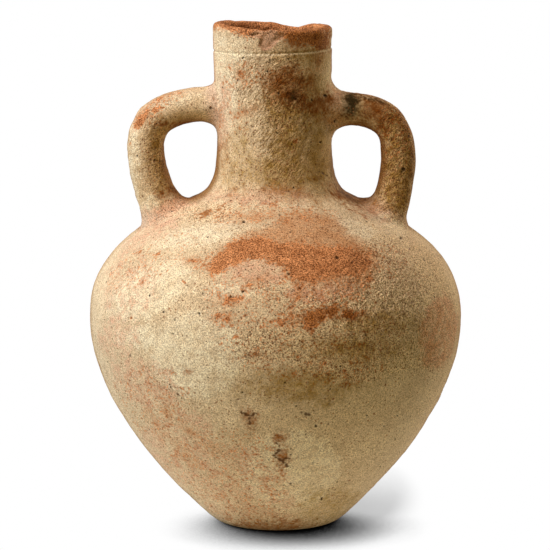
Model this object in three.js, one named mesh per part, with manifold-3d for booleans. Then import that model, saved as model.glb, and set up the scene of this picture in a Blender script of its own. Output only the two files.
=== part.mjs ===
// Two-handled jug: a wheel-thrown earthenware jar with a flat base, a tall neck and two loop handles.
// Millimetres, +Z up, origin on the floor under the belly. The handles stand on the X axis.

import * as THREE from 'three';
import { mergeVertices } from 'three/addons/utils/BufferGeometryUtils.js';
import Module from 'manifold-3d';

// Overall form of the wall
const rimHeight = 300; // floor to the top of the unworn mouth
const bellyRadius = 111; // outside, at the widest line
const bellyHeight = 123.5; // widest line, where the two thrown halves are joined
const baseRadius = 30; // the flat that it stands on
const heelRadius = 36.2; // where the side would meet the floor without its rounded heel
const heelRise = 6; // height of the rounded heel
const lowerFullness = 1.83; // how fast the side falls away below the belly
const upperFullness = 2.47; // how fast the shoulder falls away above it
const rootHeight = 197.5; // seam of neck and shoulder
const rootRadius = 43; // where the curves of the neck's flared foot and of the shoulder meet, at that seam
const neckRadius = 33.6; // outside of the neck at its waist
const flareRise = 9.5; // height over which the neck's foot dies away
const seamSmear = 1.6; // clay smoothed over that seam, which rounds off the corner of the two curves
const seamSmearRise = 2.5; // height over which it dies away, up and down

// Thickness of the clay
const wall = 7; // belly and shoulder
const floorThickness = 10; // middle of the base
const neckBore = 28.5; // radius of the passage

// Mouth
const rimSwell = 1.9; // how far the mouth stands out from the neck
const rimSwellRise = 70; // height over which it swells
const rimRound = 5; // rounding of its edge
const grooveDepth = 15; // turned groove, below the top of the mouth
const grooveWidth = 2;
const grooveCut = 0.5;
const wearReach = 14; // how far down the worn edge bends the mouth
const wornPlaces = [ // where the edge is worn down: direction seen from above, half angle and depth
  { turn: 88, spread: 100, depth: 3.4 },
  { turn: 66, spread: 28, depth: 2.4 },
];
const scar = { turn: -94, width: 28, height: 26, bite: 1.7 }; // flake lost from the outside of the mouth

// Seams between the thrown pieces
const lapWidth = 3.2; // outer part of the belly seam, on which the shoulder rests
const lapRise = 3; // inner lip of the bowl that locates the shoulder
const spigotDepth = 5; // neck's spigot in the shoulder
const socketRadius = 33.8; // opening in the shoulder
const seamGap = 0.3; // clearance of every lapped or cut seat

// Handles: centre line in the X-Z plane, thickness across the bend and width along Y
const leftHandle = {
  crownDrop: 47.8, // from the mouth down to where it leaves the neck
  bendDrop: 26.2, // from there down to where it stands farthest out
  bendInset: 35.2, // and from the belly's widest line in to there
  squareness: 0.74, // of the upper bend
  footInset: 47.8, // from the belly's widest line in to its foot
  footDepth: 15.7, // how far its foot runs below the shoulder's surface before it is cut to fit
  topThickness: 19.6,
  footThickness: 24.8,
  width: 25,
  sectionPower: 1.8, // 2 is an ellipse, more is squarer, less has a soft ridge in front and behind
};
const rightHandle = {
  crownDrop: 49.6,
  bendDrop: 30.4,
  bendInset: 37,
  squareness: 0.78,
  footInset: 46.3,
  footDepth: 14.5,
  topThickness: 18.5,
  footThickness: 21.4,
  width: 24,
  sectionPower: 2.1,
};
const rootDepth = 9; // how deep a handle's blank runs into the neck before it is cut to fit

// Luting clay wiped round the handle roots: rise up the handle, and spread along the wall, in the bend and behind it
const luting = {
  left_handle_upper_luting: { rise: 11, inner: 9, outer: 3 },
  left_handle_lower_luting: { rise: 12, inner: 13, outer: 3 },
  right_handle_upper_luting: { rise: 14, inner: 13, outer: 8.5 },
  right_handle_lower_luting: { rise: 12, inner: 13, outer: 5 },
};
const lutingEdge = 1; // thickness where it ends on the handle

// The jar is slightly out of true: its mouth stands to one side of its belly
const lean = 1.6;

// Fineness of the facets
const turns = 56;
const handleSides = 18;
const handleRings = 24;
const lutingSides = 24;
const lutingRings = 10;

const wasm = await Module();
wasm.setup();

// Radius of the outside below the belly, falling from it by a power of the depth
function lowerRadius(z) {
  const depth = (bellyHeight - z) / bellyHeight;
  return bellyRadius - (bellyRadius - heelRadius) * depth ** lowerFullness;
}

function smearAt(z) {
  return seamSmear * Math.exp(-Math.abs(z - rootHeight) / seamSmearRise);
}

// Radius of the outside between belly and neck, falling by a power of the height
function shoulderRadius(z) {
  const climb = (z - bellyHeight) / (rootHeight - bellyHeight);
  return bellyRadius - (bellyRadius - rootRadius) * climb ** upperFullness + smearAt(z);
}

// Height at which the shoulder has a given radius, below the smear on its upper seam
function shoulderHeight(radius) {
  const climb = ((bellyRadius - radius) / (bellyRadius - rootRadius)) ** (1 / upperFullness);
  return bellyHeight + (rootHeight - bellyHeight) * climb;
}

// Radius of the outside of the neck: an exponential foot and a swelling mouth
function neckOutside(z) {
  const foot = (rootRadius - neckRadius) * Math.exp((rootHeight - z) / flareRise);
  const swell = Math.max(0, 1 - (rimHeight - z) / rimSwellRise);
  return neckRadius + foot + rimSwell * swell + smearAt(z);
}

function pointsAlong(count, at) {
  return Array.from({ length: count + 1 }, (_, i) => at(i / count));
}

const lerp = THREE.MathUtils.lerp;

// Outside profiles, each from low to high
const heel = new THREE.QuadraticBezierCurve(
  new THREE.Vector2(baseRadius, 0),
  new THREE.Vector2(heelRadius, 0),
  new THREE.Vector2(lowerRadius(heelRise), heelRise),
);

function lowerOutside() {
  const side = pointsAlong(12, (t) => {
    const z = lerp(heelRise, bellyHeight, t);
    return new THREE.Vector2(lowerRadius(z), z);
  });
  return [...heel.getPoints(4), ...side.slice(1)];
}

function shoulderOutside() {
  return pointsAlong(14, (t) => {
    const z = lerp(bellyHeight, rootHeight, Math.sin(t * Math.PI / 2));
    return new THREE.Vector2(shoulderRadius(z), z);
  });
}

function grooveAt(z) {
  const off = Math.abs(z - (rimHeight - grooveDepth)) / (grooveWidth / 2);
  return grooveCut * Math.max(0, 1 - off);
}

function neckOutsideProfile() {
  const grooveMiddle = rimHeight - grooveDepth;
  const foot = pointsAlong(8, (t) => rootHeight + 4 * flareRise * t ** 1.6);
  const straight = pointsAlong(4, (t) => lerp(rootHeight + 4 * flareRise, grooveMiddle - grooveWidth / 2, t));
  const groove = [grooveMiddle, grooveMiddle + grooveWidth / 2];
  const edge = pointsAlong(2, (t) => lerp(grooveMiddle + grooveWidth / 2, rimHeight - rimRound, t));
  const levels = [...foot, ...straight.slice(1), ...groove, ...edge.slice(1)];
  return levels.map((z) => new THREE.Vector2(neckOutside(z) - grooveAt(z), z));
}

function thinned(profile) {
  return profile.filter((_, i) => i % 2 === 0 || i === profile.length - 1);
}

// Moves a profile along its own normals, by a distance that may change with its place
function offset(profile, distanceAt) {
  return profile.map((point, i) => {
    const before = profile[Math.max(i - 1, 0)];
    const after = profile[Math.min(i + 1, profile.length - 1)];
    const along = after.clone().sub(before).normalize();
    return new THREE.Vector2(along.y, -along.x).multiplyScalar(distanceAt(point)).add(point);
  });
}

// Turns a closed profile about Z
function revolve(profile) {
  return new THREE.LatheGeometry([...profile, profile[0]], turns).rotateX(Math.PI / 2);
}

function onAxis(z) {
  return new THREE.Vector2(0, z);
}

// The bowl: flat base, rounded heel, side, and a rim with an inner lip
function lowerBodyGeometry() {
  const outside = lowerOutside();
  const thickness = (p) => -lerp(wall, floorThickness, Math.max(0, 1 - p.y / bellyHeight) ** 3);
  const inside = offset(thinned(outside), thickness);
  const innerRadius = bellyRadius - wall;
  const lipRadius = bellyRadius - lapWidth;
  const rim = [
    new THREE.Vector2(lipRadius, bellyHeight),
    new THREE.Vector2(lipRadius, bellyHeight + lapRise),
    new THREE.Vector2(innerRadius, bellyHeight + lapRise),
  ];
  const bowl = inside.reverse().map((p) => new THREE.Vector2(Math.min(p.x, innerRadius), p.y));
  return revolve([onAxis(0), ...outside, ...rim, ...bowl, onAxis(floorThickness)]);
}

// The dome: it rests on the bowl's rim, and its top is a flat seat round the socket for the neck
function shoulderGeometry() {
  const outside = shoulderOutside();
  const lipTop = bellyHeight + lapRise + seamGap;
  const inside = offset(thinned(outside), () => -wall).filter((p) => p.y > lipTop && p.x > socketRadius + wall / 2);
  const mouthUnder = inside[inside.length - 1].y;
  const skirtRadius = bellyRadius - lapWidth + seamGap;
  return revolve([
    ...outside,
    new THREE.Vector2(socketRadius, rootHeight),
    new THREE.Vector2(socketRadius, mouthUnder),
    ...inside.reverse(),
    new THREE.Vector2(bellyRadius - wall, lipTop),
    new THREE.Vector2(skirtRadius, lipTop),
    new THREE.Vector2(skirtRadius, bellyHeight),
  ]);
}

// How far the edge of the mouth is worn down in one direction
function wearAt(angle) {
  return wornPlaces.reduce((sum, place) => {
    const away = Math.abs(THREE.MathUtils.euclideanModulo(angle - place.turn + 180, 360) - 180);
    const nearness = Math.max(0, 1 - away / place.spread);
    return sum + place.depth * nearness * nearness * (3 - 2 * nearness);
  }, 0);
}

// The neck: spigot, flared foot, groove and mouth
function neckGeometry() {
  const outside = neckOutsideProfile();
  const rimOuter = outside[outside.length - 1].x;
  const middle = (rimOuter + neckBore) / 2;
  const half = (rimOuter - neckBore) / 2;
  const edge = pointsAlong(6, (t) => {
    const c = Math.cos(Math.PI * t);
    const s = Math.sin(Math.PI * t);
    return new THREE.Vector2(middle + half * c, rimHeight - rimRound + rimRound * Math.sqrt(s));
  });
  const spigot = socketRadius - seamGap;
  const bore = pointsAlong(5, (t) => new THREE.Vector2(neckBore, lerp(rimHeight - rimRound, rootHeight, t)));
  const geometry = revolve([
    ...outside,
    ...edge.slice(1, -1),
    ...bore,
    new THREE.Vector2(neckBore, rootHeight - spigotDepth),
    new THREE.Vector2(spigot, rootHeight - spigotDepth),
    new THREE.Vector2(spigot, rootHeight),
  ]);
  const place = geometry.attributes.position;
  for (let i = 0; i < place.count; i += 1) {
    const angle = THREE.MathUtils.radToDeg(Math.atan2(place.getY(i), place.getX(i)));
    const nearTop = Math.max(0, 1 - (rimHeight - place.getZ(i)) / wearReach);
    place.setZ(i, place.getZ(i) - wearAt(angle) * nearTop);
  }
  return cut(geometry, scarTool());
}

// A flattened ball that bites into the outside of the mouth
function scarTool() {
  const ball = new THREE.SphereGeometry(0.5, 20, 12);
  const deep = 4 * scar.bite;
  ball.scale(deep, scar.width, scar.height);
  const middle = rimHeight - scar.height / 6;
  ball.translate(neckOutside(middle) + deep / 2 - scar.bite, 0, middle);
  return ball.rotateZ(THREE.MathUtils.degToRad(scar.turn));
}

// Solid outline of the whole jar, grown by a clearance, that the handles and the luting are cut to fit
function jarBlank(clearance) {
  const outside = [...lowerOutside(), ...shoulderOutside().slice(1), ...neckOutsideProfile().slice(1)];
  const grown = offset(outside, () => clearance);
  const top = new THREE.Vector2(grown[grown.length - 1].x, rimHeight);
  return revolve([onAxis(0), ...grown, top, onAxis(rimHeight)]);
}

// Centre line of a handle: out from the neck, round the upper bend, and down to the shoulder
function handlePath(handle, side) {
  const at = (x, z) => new THREE.Vector3(side * x, 0, z);
  const start = neckRadius - rootDepth;
  const crownHeight = rimHeight - handle.crownDrop;
  const reach = bellyRadius - handle.bendInset;
  const reachHeight = crownHeight - handle.bendDrop;
  const footRadius = bellyRadius - handle.footInset;
  const footHeight = shoulderHeight(footRadius) - handle.footDepth;
  const fall = reachHeight - footHeight;
  const { squareness } = handle;
  const path = new THREE.CurvePath();
  path.add(new THREE.CubicBezierCurve3(
    at(start, crownHeight),
    at(lerp(start, reach, squareness), crownHeight),
    at(reach, lerp(reachHeight, crownHeight, squareness)),
    at(reach, reachHeight),
  ));
  path.add(new THREE.CubicBezierCurve3(
    at(reach, reachHeight),
    at(reach, reachHeight - fall * 0.35),
    at(lerp(footRadius, reach, 0.3), footHeight + fall * 0.35),
    at(footRadius, footHeight),
  ));
  return path;
}

// Closed solid of rounded sections along part of a path. growAt says how far a point is pushed outward, from its
// place and from its side of the section: 1 is the outside of the bend and -1 the inside
function loft(handle, side, { from, to, rings, sides, growAt }) {
  const path = handlePath(handle, side);
  const across = new THREE.Vector3(0, 1, 0);
  const rounded = (value) => Math.sign(value) * Math.abs(value) ** (2 / handle.sectionPower);
  const places = [];
  const faces = [];
  for (let i = 0; i <= rings; i += 1) {
    const t = lerp(from, to, i / rings);
    const middle = path.getPointAt(t);
    const normal = across.clone().cross(path.getTangentAt(t)).normalize();
    const thickness = lerp(handle.topThickness, handle.footThickness, t);
    for (let j = 0; j < sides; j += 1) {
      const turn = (2 * Math.PI * j) / sides;
      const arm = normal.clone().multiplyScalar(rounded(Math.cos(turn)) * thickness / 2)
        .addScaledVector(across, rounded(Math.sin(turn)) * handle.width / 2);
      const point = middle.clone().add(arm);
      places.push(point.addScaledVector(arm.normalize(), growAt(point, -side * Math.cos(turn))));
      const next = (j + 1) % sides;
      if (i < rings) {
        const [a, b] = [i * sides + j, i * sides + next];
        faces.push([a, b, a + sides], [b, b + sides, a + sides]);
      }
    }
  }
  const last = rings * sides;
  places.push(path.getPointAt(from), path.getPointAt(to));
  for (let j = 0; j < sides; j += 1) {
    const next = (j + 1) % sides;
    faces.push([places.length - 2, next, j], [places.length - 1, last + j, last + next]);
  }
  const geometry = new THREE.BufferGeometry().setFromPoints(places);
  return geometry.setIndex(faces.flat());
}

function handleBlank(handle, side, clearance) {
  const shape = { from: 0, to: 1, rings: handleRings, sides: handleSides, growAt: () => clearance };
  return loft(handle, side, shape);
}

// Height of a point above the jar's outside, from the nearest stretch of its profile
const outline = [...shoulderOutside(), ...neckOutsideProfile().slice(1)];
function heightAboveWall(point) {
  const here = new THREE.Vector2(Math.hypot(point.x, point.y), point.z);
  let nearest = Infinity;
  let above = 0;
  for (let i = 0; i + 1 < outline.length; i += 1) {
    const run = outline[i + 1].clone().sub(outline[i]);
    const reach = here.clone().sub(outline[i]);
    const share = THREE.MathUtils.clamp(reach.dot(run) / run.lengthSq(), 0, 1);
    const gap = reach.addScaledVector(run, -share);
    if (gap.length() < nearest) {
      nearest = gap.length();
      above = Math.sign(gap.x * run.y - gap.y * run.x) * nearest;
    }
  }
  return above;
}

// Luting clay: the handle's own section, swelling towards the wall, less the handle and the wall
function lutingGeometry(handle, side, { rise, inner, outer }, upper) {
  const growAt = (point, outward) => {
    const share = THREE.MathUtils.clamp(1 - heightAboveWall(point) / rise, 0, 1);
    const spread = lerp(inner, outer, (1 + outward) / 2);
    return share > 0 ? lutingEdge + (spread - lutingEdge) * share ** 2 : -lutingEdge;
  };
  const length = handlePath(handle, side).getLength();
  const share = (rootDepth + 2.2 * rise + handle.footThickness / 2) / length;
  const range = upper ? { from: 0, to: share } : { from: 1 - share, to: 1 };
  const swelling = loft(handle, side, { ...range, rings: lutingRings, sides: lutingSides, growAt });
  return cut(swelling, handleBlank(handle, side, seamGap), jarBlank(seamGap));
}

// Conversion to a solid and back, and cutting
function toSolid(geometry) {
  const bare = geometry.clone();
  bare.deleteAttribute('normal');
  bare.deleteAttribute('uv');
  const merged = mergeVertices(bare, 1e-4);
  const index = merged.index.array;
  const kept = [];
  for (let i = 0; i < index.length; i += 3) {
    const [a, b, c] = index.slice(i, i + 3);
    if (a !== b && b !== c && c !== a) kept.push(a, b, c);
  }
  return new wasm.Manifold(new wasm.Mesh({
    numProp: 3,
    vertProperties: new Float32Array(merged.attributes.position.array),
    triVerts: new Uint32Array(kept),
  }));
}

function toGeometry(solid) {
  const mesh = solid.getMesh();
  const geometry = new THREE.BufferGeometry();
  geometry.setAttribute('position', new THREE.BufferAttribute(mesh.vertProperties, 3));
  return geometry.setIndex(new THREE.BufferAttribute(mesh.triVerts, 1));
}

function cut(geometry, ...tools) {
  return toGeometry(tools.reduce((solid, tool) => solid.subtract(toSolid(tool)), toSolid(geometry)));
}

// Leaning the finished jar: every level slides sideways in proportion to its height over the belly
function leaned(geometry) {
  const slide = lean / (rimHeight - bellyHeight);
  const shear = new THREE.Matrix4().makeShear(0, 0, 0, 0, -slide, 0);
  return geometry.applyMatrix4(new THREE.Matrix4().makeTranslation(slide * bellyHeight, 0, 0).multiply(shear));
}

const slip = new THREE.MeshStandardMaterial({ color: 0xcbb58c, roughness: 0.92, metalness: 0 });
const wornSlip = new THREE.MeshStandardMaterial({ color: 0xbd9a6e, roughness: 0.94, metalness: 0 });
const handledSlip = new THREE.MeshStandardMaterial({ color: 0xb09568, roughness: 0.9, metalness: 0 });
const smearedClay = new THREE.MeshStandardMaterial({ color: 0xbc9a80, roughness: 0.95, metalness: 0 });

const group = new THREE.Group();

function add(name, geometry, material) {
  const finished = leaned(geometry);
  finished.computeVertexNormals();
  const mesh = new THREE.Mesh(finished, material);
  mesh.name = name;
  group.add(mesh);
}

add('lower_body', lowerBodyGeometry(), slip);
add('shoulder', shoulderGeometry(), slip);
add('neck', neckGeometry(), wornSlip);

for (const [word, side, handle] of [['left', -1, leftHandle], ['right', 1, rightHandle]]) {
  add(`${word}_handle`, cut(handleBlank(handle, side, 0), jarBlank(seamGap)), handledSlip);
  for (const end of ['upper', 'lower']) {
    const name = `${word}_handle_${end}_luting`;
    add(name, lutingGeometry(handle, side, luting[name], end === 'upper'), smearedClay);
  }
}

export default group;
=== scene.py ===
import bpy
import numpy as np
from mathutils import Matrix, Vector


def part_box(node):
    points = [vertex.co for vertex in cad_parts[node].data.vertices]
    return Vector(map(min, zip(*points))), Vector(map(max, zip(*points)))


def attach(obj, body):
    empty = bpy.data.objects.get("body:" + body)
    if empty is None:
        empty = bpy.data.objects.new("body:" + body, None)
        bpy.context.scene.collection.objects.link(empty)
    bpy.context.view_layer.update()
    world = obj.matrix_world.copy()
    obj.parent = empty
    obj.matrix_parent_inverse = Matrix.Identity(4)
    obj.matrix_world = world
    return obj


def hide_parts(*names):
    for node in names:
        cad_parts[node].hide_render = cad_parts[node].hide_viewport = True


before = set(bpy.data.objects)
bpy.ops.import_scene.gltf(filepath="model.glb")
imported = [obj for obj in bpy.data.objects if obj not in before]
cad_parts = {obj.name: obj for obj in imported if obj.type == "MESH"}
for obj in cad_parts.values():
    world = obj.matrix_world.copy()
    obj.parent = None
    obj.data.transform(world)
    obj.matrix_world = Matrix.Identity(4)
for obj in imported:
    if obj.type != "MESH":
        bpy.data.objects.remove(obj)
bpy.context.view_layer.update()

# Two-handled earthenware jug. Shapes are worked out in millimetres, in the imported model's own frame,
# and turned into metres where a mesh is made.

metre = 1000.0  # millimetres
shoulderLow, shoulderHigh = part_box("shoulder")
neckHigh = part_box("neck")[1]

# The photograph's camera, fitted to the outline: millimetres, degrees and pixels
view = {
    "frame": 550,
    "elevation": 9.7,
    "distance": 2999.6,
    "focal": 5026.4,
    "aim": (-0.2, 0.0, 148.9),
    "sensor": 36.0,
}

elevation = np.radians(view["elevation"])
forward = np.array([0.0, np.cos(elevation), -np.sin(elevation)])
upward = np.array([0.0, np.sin(elevation), np.cos(elevation)])
eye = np.array(view["aim"]) - forward * view["distance"]
pixelSize = view["distance"] / view["focal"]  # millimetres on the jar


def addObject(name, data):
    made = bpy.data.objects.new(name, data)
    bpy.context.scene.collection.objects.link(made)
    return made


def makeCamera():
    camera = addObject("camera", bpy.data.cameras.new("camera"))
    camera.data.sensor_width = view["sensor"]
    camera.data.lens = view["focal"] / view["frame"] * view["sensor"]
    camera.data.clip_end = 30.0
    camera.location = Vector(eye / metre)
    camera.rotation_euler = (np.pi / 2 - elevation, 0.0, 0.0)
    bpy.context.scene.camera = camera


def pixelOf(points):  # where the photograph shows a point, if nothing hides it
    away = points - eye
    depth = away @ forward
    across = view["frame"] / 2 + view["focal"] * away[..., 0] / depth
    down = view["frame"] / 2 - view["focal"] * (away @ upward) / depth
    return np.stack([across, down], axis=-1)


makeCamera()
print("camera placed")

# Random fields

latticeSize = 64
lattice = np.random.default_rng(11).random((latticeSize, latticeSize, latticeSize))


# Smooth field from -1 to 1: random values on a cubic lattice of the given pitch in mm, blended between
# the eight corners with the weight t*t*(3-2t); shift picks another part of the lattice
def fieldOf(points, pitch, shift):
    place = points / pitch + shift
    cell = np.floor(place).astype(int)
    part = place - cell
    part = part * part * (3 - 2 * part)
    total = 0.0
    for corner in np.ndindex(2, 2, 2):
        weight = np.prod(np.where(corner, part, 1 - part), axis=-1)
        index = (cell + corner) % latticeSize
        total = total + weight * lattice[index[..., 0], index[..., 1], index[..., 2]]
    return total * 2 - 1


def waves(recipe, points):  # such a field from its recipe: pitch and height, and shift in the lattice
    pitch, size, shift = recipe
    return size * fieldOf(points, pitch, shift)


def smooth(low, high, value):  # 0 below low, 1 above high, an S between them
    share = np.clip((value - low) / (high - low), 0, 1)
    return share * share * (3 - 2 * share)


def mix(low, high, share):
    return low + (high - low) * share


def unit(arrows):  # the same directions with length 1
    return arrows / np.maximum(np.linalg.norm(arrows, axis=-1, keepdims=True), 1e-9)


def lengthsAlong(line):  # way along a line of points to each of them
    return np.concatenate([[0], np.cumsum(np.linalg.norm(np.diff(line, axis=0), axis=1))])


# Outer wall of the jar

jar = {
    "rimHeight": neckHigh[2] * metre,
    "bellyRadius": (shoulderHigh[1] - shoulderLow[1]) / 2 * metre,
    "bellyHeight": shoulderLow[2] * metre,
    "rootHeight": shoulderHigh[2] * metre,  # seam of neck and shoulder
    "rootRadius": 43.0,
    "neckRadius": 33.6,  # at its waist
    "flareRise": 9.5,  # height over which the neck's foot dies away
    "seamSmear": 1.6,  # clay smoothed over that seam, and the height over which it dies away
    "seamSmearRise": 2.5,
    "rimSwell": 1.9,
    "rimSwellRise": 70.0,
    "rimRound": 5.0,
    "baseRadius": 30.0,
    "heelRadius": 36.2,
    "heelRise": 6.0,
    "lowerFullness": 1.83,
    "upperFullness": 2.47,
    "wall": 7.0,
    "floor": 10.0,
    "bore": 28.5,
    "spigot": 33.0,  # outside of the neck's hidden lower end
    "lean": 1.6,  # how far the mouth stands to the left of the belly
    "overlap": 4.0,  # how far neighbouring skins run on under each other past a seam
    "dive": 0.05,  # how they sink there: this times the square of the way past the seam
    "crowding": 0.4,  # how much closer the columns stand on the photographed side
}


# Radius of the outside at a height: a power of the depth under the belly, a power of the climb over the
# shoulder, then an exponential foot and a straight swell on the neck, and a smear over their seam
def outerRadius(z):
    depth = np.clip((jar["bellyHeight"] - z) / jar["bellyHeight"], 0, 1)
    below = mix(jar["bellyRadius"], jar["heelRadius"], depth ** jar["lowerFullness"])
    climb = np.clip((z - jar["bellyHeight"]) / (jar["rootHeight"] - jar["bellyHeight"]), 0, 1)
    over = mix(jar["bellyRadius"], jar["rootRadius"], climb ** jar["upperFullness"])
    fade = np.exp(np.minimum(jar["rootHeight"] - z, 0) / jar["flareRise"])
    swell = jar["rimSwell"] * np.clip(1 - (jar["rimHeight"] - z) / jar["rimSwellRise"], 0, 1)
    onNeck = mix(jar["neckRadius"], jar["rootRadius"], fade) + swell
    smear = jar["seamSmear"] * np.exp(-np.abs(z - jar["rootHeight"]) / jar["seamSmearRise"])
    return np.where(z < jar["bellyHeight"], below, np.where(z < jar["rootHeight"], over, onNeck) + smear)


def leanAt(z):  # sideways slide of the slightly crooked jar, none at the belly
    return -jar["lean"] * (z - jar["bellyHeight"]) / (jar["rimHeight"] - jar["bellyHeight"])


# Distance outside the wall, near it: the radial distance times the cosine of the wall's slope
def wallDistance(points):
    z = points[..., 2]
    radius = np.hypot(points[..., 0] - leanAt(z), points[..., 1])
    step = 0.5
    slope = (outerRadius(z + step) - outerRadius(z - step)) / (2 * step)
    return (radius - outerRadius(z)) / np.sqrt(1 + slope ** 2)


def wallNormal(points):  # gradient of that distance by central differences, as unit vectors
    step = 0.4
    slopes = [wallDistance(points + one) - wallDistance(points - one) for one in np.eye(3) * step]
    return unit(np.stack(slopes, axis=-1))


outlineSteps = {"base": 60, "heel": 40, "side": 4000, "edge": 120, "passage": 300}


# Half section of the wall as (radius, height) points: base centre, heel, side, shoulder, neck, over the
# mouth's round edge and down the passage
def wallOutline():
    t = np.linspace(0, 1, outlineSteps["heel"])[1:, None]
    heelEnd = np.array([outerRadius(jar["heelRise"]), jar["heelRise"]])
    heelCorner = np.array([jar["heelRadius"], 0.0])
    heelStart = np.array([jar["baseRadius"], 0.0])
    heel = heelStart * (1 - t) ** 2 + 2 * heelCorner * t * (1 - t) + heelEnd * t ** 2
    flat = np.linspace(0, jar["baseRadius"], outlineSteps["base"])
    base = np.stack([flat, 0 * flat], axis=-1)
    edgeStart = jar["rimHeight"] - jar["rimRound"]
    z = np.linspace(jar["heelRise"], edgeStart, outlineSteps["side"])[1:]
    side = np.stack([outerRadius(z), z], axis=-1)
    turn = np.pi * (1 - np.cos(np.linspace(0, np.pi, outlineSteps["edge"])[1:])) / 2
    middle, half = (side[-1, 0] + jar["bore"]) / 2, (side[-1, 0] - jar["bore"]) / 2
    rise = jar["rimRound"] * np.sqrt(np.maximum(np.sin(turn), 0))
    edge = np.stack([middle + half * np.cos(turn), edgeStart + rise], axis=-1)
    down = np.linspace(edgeStart, jar["rootHeight"] - jar["wall"], outlineSteps["passage"])[1:]
    passage = np.stack([np.full(len(down), jar["bore"]), down], axis=-1)
    return np.concatenate([base, heel, side, edge, passage])


outline = wallOutline()
outlineLength = lengthsAlong(outline)
topPoint = np.argmax(outline[:, 1])
rimTop = outlineLength[topPoint]


def lengthAtHeight(z):  # way along the outline to a height on the outside
    outside = slice(outlineSteps["base"], topPoint)
    return np.interp(z, outline[outside, 1], outlineLength[outside])


bellySeam = lengthAtHeight(jar["bellyHeight"])
rootSeam = lengthAtHeight(jar["rootHeight"])


def outlineAt(lengths):
    return np.stack([np.interp(lengths, outlineLength, outline[:, i]) for i in (0, 1)], axis=-1)


def sectionAt(lengths):  # section points and outward normals at places along the outline
    reach = 0.4
    along = unit(outlineAt(lengths + reach) - outlineAt(lengths - reach))
    return outlineAt(lengths), np.stack([along[:, 1], -along[:, 0]], axis=-1)


def turned(section, columns, slide=leanAt):  # turns a section about the leaning axis, a row for each point
    even = np.linspace(0, 2 * np.pi, columns, endpoint=False)
    angle = even - jar["crowding"] * np.cos(even)
    out, z = section[:, :1], section[:, 1:]
    return np.stack([out * np.cos(angle) + slide(z), out * np.sin(angle), z + 0 * angle], axis=-1)


# Marks of use and burial, and some painted shade and light, drawn over the photograph in its pixels. Each
# falls on whatever the camera sees there. steep multiplies a mark's depth, and most caps it: under zero, only
# noise breaks through the slip


def oval(x, y, wide, high, tilt=0, steep=1, most=np.inf):  # middle, half sizes and tilt in degrees
    return {"at": (x, y), "size": (wide, high), "tilt": tilt, "steep": steep, "most": most}


def area(corners, steep=1):
    return {"outline": corners, "steep": steep}


def stroke(corners, width):  # half its width
    return {"stroke": corners, "width": width}


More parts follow.
